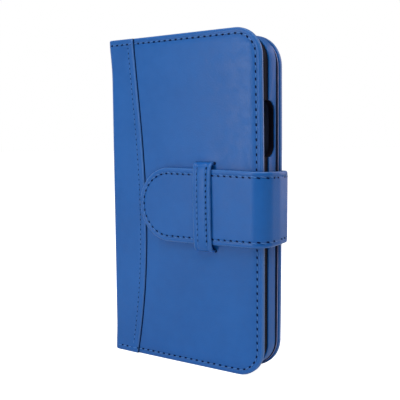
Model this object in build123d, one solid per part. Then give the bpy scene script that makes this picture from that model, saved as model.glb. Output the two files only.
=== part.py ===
from build123d import *
import os
from math import atan2, degrees, radians, sin

# A book-style leather phone wallet that stands on its bottom edges.
# +Z is up, the front cover faces -Y, the spine is at -X and the free edge at +X.
# Every piece is drawn about the middle of the closed covers, then moved so that the
# origin is the bottom centre of the whole wallet, strap and keeper included.

# Covers
HEIGHT = 152.0
WIDTH = 83.0
DEPTH = 19.0
REAR_HEIGHT = 150.5
FRONT_CORNER = 12.2
REAR_CORNER = 14.0
LEATHER = 0.8
LINING = 0.6
FRONT_BOARD = 1.0
REAR_BOARD = 1.1
TURNED_EDGE = 1.0
PANEL = 0.5

# Spine and its two creases, whose hinge axes run along Z
SPINE_STIFFENER = 0.6
SPINE_LINING = 0.4
SPINE_END_GAP = 1.1
STIFFENER_INSET = 1.0
SPINE_LINING_INSET = 0.5
CREASE_INSET = 1.2
CREASE_GAP = 1.25

# Curved edge of the spine panel: how far it is from the spine at each height
SEAM = [(14.0, 0.0), (19.4, 38.0), (20.4, 72.0), (17.4, 118.0), (14.0, 152.0)]
SEAM_STITCH_INSET = 3.1
SEAM_STITCH_END = 5.0

# Phone and the moulded shell that holds it
PHONE_BAY = (71.5, 7.8, 144.2)
BAY_CORNER = 10.0
SHELL_SIZE = (77.5, 11.0, 148.0)
SHELL_CORNER = 12.0
SHELL_EDGE_INSET = 0.7
SHELL_FRONT_GAP = 2.7
SHELL_LEATHER = 0.7
SHELL_LEATHER_SET_BACK = 3.3
SHELL_LIP = 0.9
SHELL_LIP_REACH = 1.2
SHELL_LINING = 0.4
SHELL_BACK_ROUND = 2.2
BUTTON_NOTCH = (24.5, 8.5, 109.1)
VOLUME_NOTCH = (42.0, 8.5, 106.0)
NOTCH_CORNER = 5.0
NOTCH_CUT = 6.0
PORT_SLOT = (44.0, 5.4)
PORT_SLOT_CORNER = 2.65
PORT_CUT = 8.0
CAMERA_CENTRE = (24.5, 126.5)
SHELL_WINDOW = (15.0, 32.0, 6.0)
REAR_WINDOW = (18.0, 35.0, 7.0)
STEEL_PLATE = (40.0, 0.4, 76.0)
STEEL_PLATE_MIDDLE = (-11.5, 76.0)
STEEL_PLATE_CORNER = 4.0
MAGNET_RADIUS = 6.0
MAGNET_THICKNESS = 0.8
MAGNETS = [(-23.5, 48.0), (0.5, 48.0), (-23.5, 104.0), (0.5, 104.0)]

# Strap that wraps the free edge, and the keeper loop that holds it
STRAP_MIDDLE_Z = 74.7
STRAP_OUTER = 1.0
STRAP_LINING = 0.8
STRAP_LIFT = 0.8
STRAP_REACH = 3.6
STRAP_FLAT_END = 7.0
STRAP_RISE = 4.5
STRAP_INNER_BEND = 4.0
STRAP_TIP = 64.2
STRAP_TIP_HALF = 17.1
STRAP_EDGE_HALF = 16.3
STRAP_BEND_HALF = 16.0
STRAP_ROOT_HALF = 15.6
STRAP_ROOT_END = 38.0
STRAP_ROOT_CORNER = 4.0
KEEPER_MIDDLE = (13.6, 74.55)
KEEPER_WIDTH = 9.2
KEEPER_LENGTH = 39.4
KEEPER_OPENING = 34.8
KEEPER_THICKNESS = 1.2
KEEPER_CLEARANCE = 0.3
KEEPER_ROUND = 2.0

# Pockets on the inner face of the front cover
BILL_POCKET = (72.0, 0.5, 138.0)
BILL_POCKET_CORNER = 6.0
CARD_LAYER = 0.4
CARD_POCKET_WIDTH = 62.0
CARD_POCKET_CORNER = 3.0
CARD_POCKET_BOTTOM = 26.0
CARD_POCKET_TOPS = {"card_pocket_upper": 124.0, "card_pocket_middle": 110.0, "card_pocket_lower": 96.0}
POCKET_MIDDLE = 2.0

# Stitches
PITCH = 3.15
STITCH = (2.1, 0.55, 0.2)
EDGE_STITCH_INSET = 2.4
STRAP_STITCH_INSET = 2.3
KEEPER_STITCH_SPACING = 4.6
KEEPER_STITCH_INSET = 3.0
POCKET_STITCH_INSET = 1.5
POCKET_STITCH_BELOW_TOP = 1.0
STITCH_TURN = 2.0

# Levels worked out from the driving dimensions
SPINE = -WIDTH / 2
FREE = WIDTH / 2
FRONT = -DEPTH / 2
REAR = DEPTH / 2
FRONT_BOARD_FACE = FRONT + LEATHER
FRONT_LINING_FACE = FRONT_BOARD_FACE + FRONT_BOARD
FRONT_INSIDE = FRONT_LINING_FACE + LINING
REAR_BOARD_FACE = REAR - LEATHER
REAR_LINING_FACE = REAR_BOARD_FACE - REAR_BOARD
REAR_INSIDE = REAR_LINING_FACE - LINING
FRONT_PANEL_FACE = FRONT - PANEL
REAR_PANEL_FACE = REAR + PANEL
COVER_START = SPINE + CREASE_INSET + CREASE_GAP
SPINE_HALF = DEPTH / 2 - CREASE_INSET - SPINE_END_GAP

SHELL_FRONT = FRONT_INSIDE + SHELL_FRONT_GAP
SHELL_BACK = SHELL_FRONT + SHELL_SIZE[1]
SHELL_X = FREE - SHELL_EDGE_INSET - SHELL_SIZE[0] / 2
SHELL_Z = HEIGHT / 2
CORE_BACK = SHELL_BACK - SHELL_LEATHER
BAY_FRONT = SHELL_FRONT + SHELL_LIP
BAY_BACK = BAY_FRONT + PHONE_BAY[1]

STRAP_THICKNESS = STRAP_OUTER + STRAP_LINING
STRAP_FRONT_INNER = FRONT - STRAP_LIFT
STRAP_FRONT_FACE = STRAP_FRONT_INNER - STRAP_THICKNESS
STRAP_ROOT_FACE = REAR + STRAP_THICKNESS
STRAP_BACK_FACE = STRAP_ROOT_FACE + STRAP_LIFT
STRAP_SIDE = FREE + STRAP_REACH
STRAP_BEND = STRAP_INNER_BEND + STRAP_THICKNESS
BEND_START = FREE - STRAP_FLAT_END
TIP_CENTRE = FREE - STRAP_TIP + STRAP_TIP_HALF
KEEPER_INNER = STRAP_FRONT_FACE - KEEPER_CLEARANCE
KEEPER_FACE = KEEPER_INNER - KEEPER_THICKNESS

ORIGIN = ((SPINE + STRAP_SIDE) / 2, (KEEPER_FACE + STRAP_BACK_FACE) / 2, 0)


def upright(y):
    """Drawing plane in X and Z at depth y, whose normal points to -Y."""
    return Plane(origin=(0, y, 0), x_dir=(1, 0, 0), z_dir=(0, -1, 0))


def slab(outline, y_front, y_back):
    """An outline in X and Z, as thick as from y_front to y_back."""
    return extrude(upright(y_back) * outline, y_back - y_front)


def cover_outline(height, corner, inset=0.0):
    """Cover outline, square at the spine and rounded at the free edge, drawn inset on three sides."""
    left, right = COVER_START, FREE - inset
    box = Pos((left + right) / 2, height / 2) * Rectangle(right - left, height - 2 * inset)
    return fillet(box.vertices().group_by(Axis.X)[-1], corner - inset)


def rounded(width, height, corner, x, z):
    return Pos(x, z) * RectangleRounded(width, height, corner)


def window(size):
    width, height, corner = size
    return rounded(width, height, corner, *CAMERA_CENTRE)


def through(outline):
    """A cutter that runs through the whole wallet along Y."""
    return slab(outline, -DEPTH, DEPTH)


def seam_curve(height, inset=0.0):
    """The panel's curved edge, from the bottom edge to the top edge of a cover."""
    last = len(SEAM) - 1
    points = [
        (SPINE + reach - inset, height if index == last else z)
        for index, (reach, z) in enumerate(SEAM)
    ]
    return Spline(*points)


def panel_outline(height):
    """What the spine panel covers of one cover: from the crease to its curved edge."""
    seam = seam_curve(height)
    frame = Polyline(seam @ 0, (COVER_START, 0), (COVER_START, height), seam @ 1)
    return make_face(Wire([seam, *frame.edges()]))


# Covers

def front_leather():
    skin = slab(cover_outline(HEIGHT, FRONT_CORNER), FRONT, FRONT_INSIDE)
    return skin - slab(cover_outline(HEIGHT, FRONT_CORNER, TURNED_EDGE), FRONT_BOARD_FACE, FRONT_INSIDE)


def front_filling(y_front, y_back):
    return slab(cover_outline(HEIGHT, FRONT_CORNER, TURNED_EDGE), y_front, y_back)


def rear_leather():
    skin = slab(cover_outline(REAR_HEIGHT, REAR_CORNER), REAR_INSIDE, REAR)
    filling = slab(cover_outline(REAR_HEIGHT, REAR_CORNER, TURNED_EDGE), REAR_INSIDE, REAR_BOARD_FACE)
    return skin - filling - through(window(REAR_WINDOW))


def rear_filling(y_front, y_back):
    sheet = slab(cover_outline(REAR_HEIGHT, REAR_CORNER, TURNED_EDGE), y_front, y_back)
    return sheet - through(window(REAR_WINDOW))


def magnets():
    discs = [Pos(x, z) * Circle(MAGNET_RADIUS) for x, z in MAGNETS]
    return [slab(disc, REAR_BOARD_FACE - MAGNET_THICKNESS, REAR_BOARD_FACE) for disc in discs]


def rear_board():
    board = rear_filling(REAR_LINING_FACE, REAR_BOARD_FACE)
    for magnet in magnets():
        board -= magnet
    return board


def spine_layer(x_left, x_right, half):
    return Pos((x_left + x_right) / 2, 0, REAR_HEIGHT / 2) * Box(x_right - x_left, 2 * half, REAR_HEIGHT)


# Pockets

def bill_pocket():
    width, thickness, height = BILL_POCKET
    outline = rounded(width, height, BILL_POCKET_CORNER, POCKET_MIDDLE, HEIGHT / 2)
    return slab(outline, FRONT_INSIDE, FRONT_INSIDE + thickness)


def card_pocket(layer, top):
    middle = (CARD_POCKET_BOTTOM + top) / 2
    height = top - CARD_POCKET_BOTTOM
    outline = rounded(CARD_POCKET_WIDTH, height, CARD_POCKET_CORNER, POCKET_MIDDLE, middle)
    front = FRONT_INSIDE + BILL_POCKET[1] + layer * CARD_LAYER
    return slab(outline, front, front + CARD_LAYER)


# Phone shell

def shell_block(inset, y_front, y_back):
    width, _, height = SHELL_SIZE
    outline = rounded(width - 2 * inset, height - 2 * inset, SHELL_CORNER - inset, SHELL_X, SHELL_Z)
    return slab(outline, y_front, y_back)


def side_notch(size, x):
    """D-shaped cutter, open to the shell's front, through one side wall."""
    length, depth, middle = size
    reach = 2 * depth
    profile = fillet(Rectangle(reach, length).vertices(), NOTCH_CORNER)
    plane = Plane(origin=(x, SHELL_FRONT, middle), x_dir=(0, 1, 0), z_dir=(1, 0, 0))
    return extrude(plane * profile, NOTCH_CUT, both=True)


def shell_cutters():
    length, height = PORT_SLOT
    port_plane = Plane(origin=(SHELL_X, (BAY_FRONT + BAY_BACK) / 2, 0), x_dir=(1, 0, 0), z_dir=(0, 0, 1))
    port = extrude(port_plane * RectangleRounded(length, height, PORT_SLOT_CORNER), PORT_CUT)
    right = side_notch(BUTTON_NOTCH, SHELL_X + SHELL_SIZE[0] / 2)
    left = side_notch(VOLUME_NOTCH, SHELL_X - SHELL_SIZE[0] / 2)
    return [port, right, left, through(window(SHELL_WINDOW))]


def cut_all(solid, cutters):
    for cutter in cutters:
        solid -= cutter
    return solid


def shell_leather():
    """Leather round the shell's sides and back. It stops short of the front, so the core's rim stays bare."""
    skin = shell_block(0, SHELL_FRONT + SHELL_LEATHER_SET_BACK, SHELL_BACK)
    skin = fillet(skin.faces().sort_by(Axis.Y)[-1].edges(), SHELL_BACK_ROUND)
    return cut_all(skin - shell_inside(), shell_cutters())


def shell_inside():
    core = shell_block(SHELL_LEATHER, SHELL_FRONT, CORE_BACK)
    return fillet(core.faces().sort_by(Axis.Y)[-1].edges(), SHELL_BACK_ROUND - SHELL_LEATHER)


def steel_plate():
    width, thickness, height = STEEL_PLATE
    outline = rounded(width, height, STEEL_PLATE_CORNER, *STEEL_PLATE_MIDDLE)
    return slab(outline, CORE_BACK - thickness, CORE_BACK)


def shell_core():
    width, _, height = PHONE_BAY
    bay = rounded(width, height, BAY_CORNER, SHELL_X, SHELL_Z)
    reach = 2 * SHELL_LIP_REACH
    mouth = rounded(width - reach, height - reach, BAY_CORNER - SHELL_LIP_REACH, SHELL_X, SHELL_Z)
    core = shell_inside() - slab(bay, BAY_FRONT, BAY_BACK + SHELL_LINING)
    core -= slab(mouth, SHELL_FRONT, BAY_FRONT)
    return cut_all(core - steel_plate(), shell_cutters())


def shell_lining():
    width, _, height = PHONE_BAY
    sheet = slab(rounded(width, height, BAY_CORNER, SHELL_X, SHELL_Z), BAY_BACK, BAY_BACK + SHELL_LINING)
    return sheet - through(window(SHELL_WINDOW))


# Strap and keeper

def tongue_outline(inset=0.0):
    """Round-ended tongue, a little narrower towards the free edge."""
    tip_half, edge_half = STRAP_TIP_HALF - inset, STRAP_EDGE_HALF - inset
    upper = (TIP_CENTRE, STRAP_MIDDLE_Z + tip_half)
    lower = (TIP_CENTRE, STRAP_MIDDLE_Z - tip_half)
    return Wire([
        Line((BEND_START, STRAP_MIDDLE_Z + edge_half), upper),
        ThreePointArc(upper, (TIP_CENTRE - tip_half, STRAP_MIDDLE_Z), lower),
        Line(lower, (BEND_START, STRAP_MIDDLE_Z - edge_half)),
    ])


def tongue(y_front, y_back):
    open_outline = tongue_outline()
    closing = Line(open_outline @ 1, open_outline @ 0)
    return slab(make_face(Wire([*open_outline.edges(), closing])), y_front, y_back)


def wrap_line(offset):
    """Strap's run round the free edge, seen from above, at an offset from its inner face.

    It starts flat on the rear cover, rises clear of the edge, and turns twice on its way to the front.
    """
    side = STRAP_SIDE - STRAP_THICKNESS + offset
    front, back = STRAP_FRONT_INNER - offset, REAR + STRAP_LIFT + offset
    corners = [
        (BEND_START, REAR + offset),
        (BEND_START + STRAP_RISE, back),
        (side, back),
        (side, front),
        (BEND_START, front),
    ]
    turn = STRAP_INNER_BEND + offset
    return FilletPolyline(*corners, radius=[STRAP_RISE / 2, turn, turn])


def bend(inner, outer):
    """The strap's half turn round the free edge, between two offsets from its inner face."""
    near, far = wrap_line(inner), wrap_line(outer)
    ends = [Line(near @ 0, far @ 0), Line(near @ 1, far @ 1)]
    section = make_face(Wire([*near.edges(), *far.edges(), *ends]))
    return Pos(0, 0, STRAP_MIDDLE_Z - STRAP_BEND_HALF) * extrude(section, 2 * STRAP_BEND_HALF)


def root(y_front, y_back):
    width = BEND_START - (FREE - STRAP_ROOT_END)
    box = Pos(BEND_START - width / 2, STRAP_MIDDLE_Z) * Rectangle(width, 2 * STRAP_ROOT_HALF)
    return slab(fillet(box.vertices().group_by(Axis.X)[0], STRAP_ROOT_CORNER), y_front, y_back)


def keeper_loop():
    """Leather bridge over the strap, whose feet are sewn to the front cover."""
    x, z = KEEPER_MIDDLE
    plane = Plane(origin=(x, 0, z), x_dir=(0, 1, 0), z_dir=(1, 0, 0))
    height = FRONT - KEEPER_FACE
    bridge = Pos((FRONT + KEEPER_FACE) / 2, 0) * Rectangle(height, KEEPER_LENGTH)
    bridge = fillet(bridge.vertices().group_by(Axis.X)[0], KEEPER_ROUND)
    opening = Pos((FRONT + KEEPER_INNER) / 2, 0) * Rectangle(FRONT - KEEPER_INNER, KEEPER_OPENING)
    return extrude(plane * (bridge - opening), KEEPER_WIDTH / 2, both=True)


# Stitches

def stitches(path, face, outward):
    """Stitches along a path drawn in X and Z. Each lies on the leather that it is sewn to.

    face gives the depth of the leather at (x, z), and outward is -1 on the front and 1 on the rear.
    """
    length, width, thickness = STITCH
    count = int(path.length / PITCH)
    solids = []
    for index in range(count):
        place = (index + 0.5) / count
        point, run = path.position_at(place), path.tangent_at(place)
        turn = -degrees(atan2(run.Y, run.X))
        y = face(point.X, point.Y) + outward * thickness / 2
        solids.append(Pos(point.X, y, point.Y) * Rot(0, turn, 0) * Box(length, thickness, width))
    return solids


def edge_path(height, corner):
    """Sewing line along a cover's bottom edge, free edge and top edge."""
    low, high, right = EDGE_STITCH_INSET, height - EDGE_STITCH_INSET, FREE - EDGE_STITCH_INSET
    turn = corner - EDGE_STITCH_INSET
    return FilletPolyline((COVER_START, low), (right, low), (right, high), (COVER_START, high), radius=turn)


def panel_level(face, raised, height):
    """Depth of a cover's leather: raised on the spine panel, flat elsewhere."""
    seam = seam_curve(height)
    bottom, top = (seam @ 0).X, (seam @ 1).X

    def level(x, z):
        reach = bottom if z < height / 2 else top
        return raised if x < reach else face
    return level


def cover_stitching(height, corner, face, raised, outward):
    return stitches(edge_path(height, corner), panel_level(face, raised, height), outward)


def seam_stitching(height, raised, outward):
    seam = seam_curve(height, SEAM_STITCH_INSET)
    ends = SEAM_STITCH_END / seam.length
    return stitches(seam.trim(ends, 1 - ends), lambda x, z: raised, outward)


def straight_line(start, end, y, outward):
    return stitches(Line(start, end), lambda x, z: y, outward)


def pocket_stitching():
    half = CARD_POCKET_WIDTH / 2 - POCKET_STITCH_INSET
    left, right = POCKET_MIDDLE - half, POCKET_MIDDLE + half
    low = CARD_POCKET_BOTTOM + POCKET_STITCH_INSET
    high = min(CARD_POCKET_TOPS.values()) - POCKET_STITCH_BELOW_TOP
    inside = FRONT_INSIDE + BILL_POCKET[1] + len(CARD_POCKET_TOPS) * CARD_LAYER
    path = FilletPolyline((left, high), (left, low), (right, low), (right, high), radius=STITCH_TURN)
    return stitches(path, lambda x, z: inside, 1)


def keeper_stitching():
    x, z = KEEPER_MIDDLE
    half = KEEPER_LENGTH / 2 - KEEPER_STITCH_INSET
    lines = []
    for side in (-1, 1):
        column = x + side * KEEPER_STITCH_SPACING / 2
        lines += straight_line((column, z - half), (column, z + half), KEEPER_FACE, -1)
    return lines


def tongue_stitching():
    return stitches(tongue_outline(STRAP_STITCH_INSET), lambda x, z: STRAP_FRONT_FACE, -1)


def root_stitching():
    left, right = FREE - STRAP_ROOT_END + STRAP_STITCH_INSET, BEND_START
    high = STRAP_MIDDLE_Z + STRAP_ROOT_HALF - STRAP_STITCH_INSET
    low = STRAP_MIDDLE_Z - STRAP_ROOT_HALF + STRAP_STITCH_INSET
    path = FilletPolyline((right, high), (left, high), (left, low), (right, low), radius=STITCH_TURN)
    anchor_x = right - STRAP_STITCH_INSET
    anchor = straight_line((anchor_x, low + PITCH), (anchor_x, high - PITCH), STRAP_ROOT_FACE, 1)
    return stitches(path, lambda x, z: STRAP_ROOT_FACE, 1) + anchor


def bend_stitching():
    """Stitches on the flat side of the strap's bend, beyond the free edge."""
    length, width, thickness = STITCH
    front, back = STRAP_FRONT_FACE + STRAP_BEND, STRAP_BACK_FACE - STRAP_BEND
    count = int((back - front) / PITCH)
    solids = []
    for side in (-1, 1):
        z = STRAP_MIDDLE_Z + side * (STRAP_BEND_HALF - STRAP_STITCH_INSET)
        for index in range(count):
            y = front + (index + 0.5) * (back - front) / count
            solids.append(Pos(STRAP_SIDE + thickness / 2, y, z) * Box(thickness, length, width))
    return solids


def covers():
    spine_inside = SPINE + LEATHER
    stiffener_inside = spine_inside + SPINE_STIFFENER
    lining_inside = stiffener_inside + SPINE_LINING
    return {
        "front_leather": front_leather(),
        "front_board": front_filling(FRONT_BOARD_FACE, FRONT_LINING_FACE),
        "front_lining": front_filling(FRONT_LINING_FACE, FRONT_INSIDE),
        "front_spine_panel": slab(panel_outline(HEIGHT), FRONT_PANEL_FACE, FRONT),
        "spine_panel": spine_layer(SPINE, spine_inside, SPINE_HALF),
        "spine_stiffener": spine_layer(spine_inside, stiffener_inside, SPINE_HALF - STIFFENER_INSET),
        "spine_lining": spine_layer(stiffener_inside, lining_inside, SPINE_HALF - SPINE_LINING_INSET),
        "rear_leather": rear_leather(),
        "rear_board": rear_board(),
        "rear_lining": rear_filling(REAR_INSIDE, REAR_LINING_FACE),
        "rear_spine_panel": slab(panel_outline(REAR_HEIGHT), REAR, REAR_PANEL_FACE),
        "rear_magnets": magnets(),
    }


def inner_pieces():
    pockets = {
        name: card_pocket(layer, top)
        for layer, (name, top) in enumerate(CARD_POCKET_TOPS.items())
    }
    return {
        "bill_pocket": bill_pocket(),
        **pockets,
        "shell_core": shell_core(),
        "shell_leather": shell_leather(),
        "shell_lining": shell_lining(),
        "shell_steel_plate": steel_plate(),
    }


def strap_pieces():
    return {
        "strap_tongue_leather": tongue(STRAP_FRONT_FACE, STRAP_FRONT_FACE + STRAP_OUTER),
        "strap_tongue_lining": tongue(STRAP_FRONT_FACE + STRAP_OUTER, STRAP_FRONT_INNER),
        "strap_bend_leather": bend(STRAP_LINING, STRAP_THICKNESS),
        "strap_bend_lining": bend(0, STRAP_LINING),
        "strap_root_leather": root(REAR + STRAP_LINING, STRAP_ROOT_FACE),
        "strap_root_lining": root(REAR, REAR + STRAP_LINING),
        "keeper_loop": keeper_loop(),
    }


def stitching():
    return {
        "front_stitching": cover_stitching(HEIGHT, FRONT_CORNER, FRONT, FRONT_PANEL_FACE, -1),
        "front_seam_stitching": seam_stitching(HEIGHT, FRONT_PANEL_FACE, -1),
        "rear_stitching": cover_stitching(REAR_HEIGHT, REAR_CORNER, REAR, REAR_PANEL_FACE, 1),
        "rear_seam_stitching": seam_stitching(REAR_HEIGHT, REAR_PANEL_FACE, 1),
        "pocket_stitching": pocket_stitching(),
        "keeper_stitching": keeper_stitching(),
        "strap_tongue_stitching": tongue_stitching(),
        "strap_bend_stitching": bend_stitching(),
        "strap_root_stitching": root_stitching(),
    }


def in_place(shape):
    """The piece, moved so that the origin is the wallet's bottom centre."""
    solids = shape if isinstance(shape, list) else shape.solids()
    moved = [Pos(*ORIGIN).inverse() * solid for solid in solids]
    return moved[0] if len(moved) == 1 else Compound(children=moved)


def main():
    os.makedirs("parts", exist_ok=True)
    nodes = {**covers(), **inner_pieces(), **strap_pieces(), **stitching()}
    for name, shape in nodes.items():
        export_step(in_place(shape), f"parts/{name}.step")
    crease_x = SPINE + CREASE_INSET - ORIGIN[0]
    for label, y in (("rear crease", REAR - CREASE_INSET), ("front crease", FRONT + CREASE_INSET)):
        print(f"{label} axis: x {crease_x:.3f}, y {y - ORIGIN[1]:.3f}")
    inset = STRAP_BEND - (STRAP_BEND - STRAP_THICKNESS / 2) * sin(radians(45))
    bend_x = STRAP_SIDE - inset - ORIGIN[0]
    for label, y in (("rear", STRAP_BACK_FACE - inset), ("front", STRAP_FRONT_FACE + inset)):
        print(f"{label} strap bend axis: x {bend_x:.3f}, y {y - ORIGIN[1]:.3f}")


main()
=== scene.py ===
from bisect import bisect_right
from math import atan2, cos, hypot, pi, radians, sin

import bmesh
import bpy
import numpy as np
from bpy.props import FloatProperty, FloatVectorProperty, PointerProperty
from mathutils import Matrix, Vector


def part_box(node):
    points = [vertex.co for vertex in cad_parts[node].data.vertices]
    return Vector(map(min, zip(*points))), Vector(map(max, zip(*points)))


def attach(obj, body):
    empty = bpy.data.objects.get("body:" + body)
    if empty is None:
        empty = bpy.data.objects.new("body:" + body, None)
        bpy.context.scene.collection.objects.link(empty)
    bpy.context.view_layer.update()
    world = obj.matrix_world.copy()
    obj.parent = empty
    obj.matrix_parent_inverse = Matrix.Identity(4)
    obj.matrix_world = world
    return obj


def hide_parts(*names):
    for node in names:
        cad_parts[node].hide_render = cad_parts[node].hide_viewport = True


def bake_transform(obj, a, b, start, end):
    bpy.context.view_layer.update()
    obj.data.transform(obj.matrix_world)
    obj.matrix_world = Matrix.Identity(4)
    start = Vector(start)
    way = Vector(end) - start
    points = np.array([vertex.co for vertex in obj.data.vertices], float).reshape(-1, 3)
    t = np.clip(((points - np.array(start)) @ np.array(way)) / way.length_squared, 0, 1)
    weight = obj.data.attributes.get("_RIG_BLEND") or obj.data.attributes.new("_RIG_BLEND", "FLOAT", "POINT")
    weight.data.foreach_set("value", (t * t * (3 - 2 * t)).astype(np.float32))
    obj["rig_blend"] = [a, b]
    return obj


bl_info = {
    "name": "Leather phone wallet",
    "version": (1, 0, 0),
    "blender": (4, 5, 0),
    "location": "View3D > Sidebar > Wallet",
    "description": "Covers, spine, strap, keeper, stitching and phone shell of a leather phone wallet",
    "category": "Add Mesh",
}

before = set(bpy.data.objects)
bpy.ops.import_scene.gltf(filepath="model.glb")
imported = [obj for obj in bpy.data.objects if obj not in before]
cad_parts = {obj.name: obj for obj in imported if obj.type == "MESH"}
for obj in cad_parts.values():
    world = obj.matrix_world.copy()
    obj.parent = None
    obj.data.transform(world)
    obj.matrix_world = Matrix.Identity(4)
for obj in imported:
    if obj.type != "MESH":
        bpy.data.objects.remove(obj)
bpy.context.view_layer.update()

# Patterns are cut in millimetres and placed in metres.
MM = 0.001
GRAIN = 0.5

# Rings pressed in from a cut edge: (how far in, how far up), both in millimetres
TURNED = [(0.1, 0.2), (0.15, 0.15), (0.25, 0.12), (0.35, 0.08), (0.75, 0.05)]
SEWN = TURNED + [(0.3, -0.1), (1.0, 0.0), (0.35, 0.1), (2.4, 0.08), (0.5, 0.0)]
ROLLED = [(0.08, 0.16), (0.14, 0.13), (0.22, 0.09), (0.4, 0.05), (0.4, 0.0)]
THIN = [(0.06, 0.1), (0.14, 0.06), (0.3, 0.0)]


def mm(length):
    return length / MM


def span(node):
    """Lowest and highest corner of a node, in millimetres."""
    low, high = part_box(node)
    return low / MM, high / MM


def smooth(value, start, end):
    t = min(max((value - start) / (end - start), 0.0), 1.0)
    return t * t * (3 - 2 * t)


# ---------------------------------------------------------------- sizes and colours

def length(name, default, description):
    return FloatProperty(name=name, description=description, default=default, unit="LENGTH")


def colour(name, default, description):
    return FloatVectorProperty(name=name, description=description, default=default, subtype="COLOR",
                               size=3, min=0.0, max=1.0)


class WalletSizes(bpy.types.PropertyGroup):
    front_corner: length("Front corner", 0.0122, "Radius of the front cover's free corners")
    rear_corner: length("Rear corner", 0.014, "Radius of the rear cover's free corners")
    lining: length("Lining", 0.00035, "Thickness of the cover linings")
    wrap: length("Spine wrap", 0.0009, "Thickness of the panel that wraps the spine")
    wrap_round: length("Spine corner", 0.0022, "Outer radius where the panel turns onto the spine")
    strap_outer: length("Strap leather", 0.001, "Thickness of the strap's outer leather")
    strap_backing: length("Strap backing", 0.0008, "Thickness of the strap's backing")
    keeper: length("Keeper", 0.0012, "Thickness of the keeper loop")
    pitch: length("Stitch pitch", 0.00315, "Distance from one stitch to the next")
    thread: length("Thread", 0.0005, "Width of a stitch")
    hole: length("Needle hole", 0.00075, "Width of a needle hole")
    edge_inset: length("Edge row", 0.0024, "How far the sewing is from a cover's edge")
    seam_inset: length("Seam row", 0.0031, "How far the sewing is from the spine panel's curved edge")
    strap_inset: length("Strap row", 0.0023, "How far the sewing is from the strap's edge")
    keeper_rows: length("Keeper rows", 0.0046, "Distance between the keeper's two rows of sewing")


class WalletColours(bpy.types.PropertyGroup):
    leather: colour("Leather", (0.0060, 0.118, 0.430), "Smooth outer leather")
    shade: colour("Leather shade", (0.0045, 0.101, 0.380), "Darker patches of the leather")
    # Turned edge colour: partly a worn edge, partly a painted highlight where the rolled edge catches the
    # light.
    edge: colour("Turned edge", (0.050, 0.170, 0.460), "Worn, lighter turned edges")
    thread: colour("Thread", (0.030, 0.190, 0.560), "Sewing thread")
    # Needle hole colour: painted shade, used for the needle holes, the keeper's slits and the line beside the
    # spine panel.
    hole: colour("Needle hole", (0.0012, 0.009, 0.055), "Needle holes and open slits")
    backing: colour("Backing", (0.010, 0.085, 0.290), "Strap backing and pocket leather")
    lining: colour("Lining", (0.006, 0.014, 0.045), "Microfibre lining")
    # Pale lilac on the linings' cut edge: a painted highlight where light catches the edge.
    lining_edge_highlight: colour("Lining edge", (0.36, 0.36, 0.62), "Cut edge of the cover linings")
    plastic: colour("Shell plastic", (0.004, 0.003, 0.010), "Moulded shell core")
    board: colour("Board", (0.24, 0.20, 0.15), "Stiffening board")
    steel: colour("Steel", (0.52, 0.53, 0.55), "Steel plate and magnets")
    floor: colour("Floor", (0.86, 0.86, 0.86), "Studio floor")


def sizes():
    return bpy.context.scene.wallet_sizes


def colours():
    return bpy.context.scene.wallet_colours


# ---------------------------------------------------------------- finishes

def rgba(value):
    return (*value, 1.0)


def toned(value, share):
    """Lighter or darker tone of a colour."""
    return rgba([part * share for part in value])


def add_node(tree, kind, **settings):
    node = tree.nodes.new(kind)
    for name, value in settings.items():
        setattr(node, name, value)
    return node


def join(tree, *links):
    for start, end in links:
        tree.links.new(start, end)


def math_node(tree, operation, first, second, clamp=False):
    node = add_node(tree, "ShaderNodeMath", operation=operation, use_clamp=clamp)
    for socket, value in zip(node.inputs, (first, second)):
        if isinstance(value, (int, float)):
            socket.default_value = value
        else:
            tree.links.new(value, socket)
    return node.outputs[0]


def ramp_between(tree, value, low, high, to_low=0.0, to_high=1.0):
    node = add_node(tree, "ShaderNodeMapRange", interpolation_type="SMOOTHSTEP", clamp=True)
    for name, number in (("From Min", low), ("From Max", high), ("To Min", to_low), ("To Max", to_high)):
        node.inputs[name].default_value = number
    tree.links.new(value, node.inputs["Value"])
    return node.outputs["Result"]


def mix_colour(tree, factor, first, second, blend="MIX"):
    node = add_node(tree, "ShaderNodeMix", data_type="RGBA", blend_type=blend)
    for socket, value in ((node.inputs[0], factor), (node.inputs[6], first), (node.inputs[7], second)):
        if isinstance(value, (int, float, tuple)):
            socket.default_value = value
        else:
            tree.links.new(value, socket)
    return node.outputs[2]


def new_group(name, inputs, outputs):
    """New shader group with its sockets, and the ends of its input and output nodes."""
    tree = bpy.data.node_groups.new(name, "ShaderNodeTree")
    for socket, kind, default in inputs:
        made = tree.interface.new_socket(socket, in_out="INPUT", socket_type=kind)
        if default is not None:
            made.default_value = default
    for socket, kind in outputs:
        tree.interface.new_socket(socket, in_out="OUTPUT", socket_type=kind)
    return tree, add_node(tree, "NodeGroupInput").outputs, add_node(tree, "NodeGroupOutput").inputs


def noise(tree, vector, scale, detail=3.0, roughness=0.55):
    node = add_node(tree, "ShaderNodeTexNoise")
    node.inputs["Scale"].default_value = scale
    node.inputs["Detail"].default_value = detail
    node.inputs["Roughness"].default_value = roughness
    tree.links.new(vector, node.inputs["Vector"])
    return node.outputs["Fac"]


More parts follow.
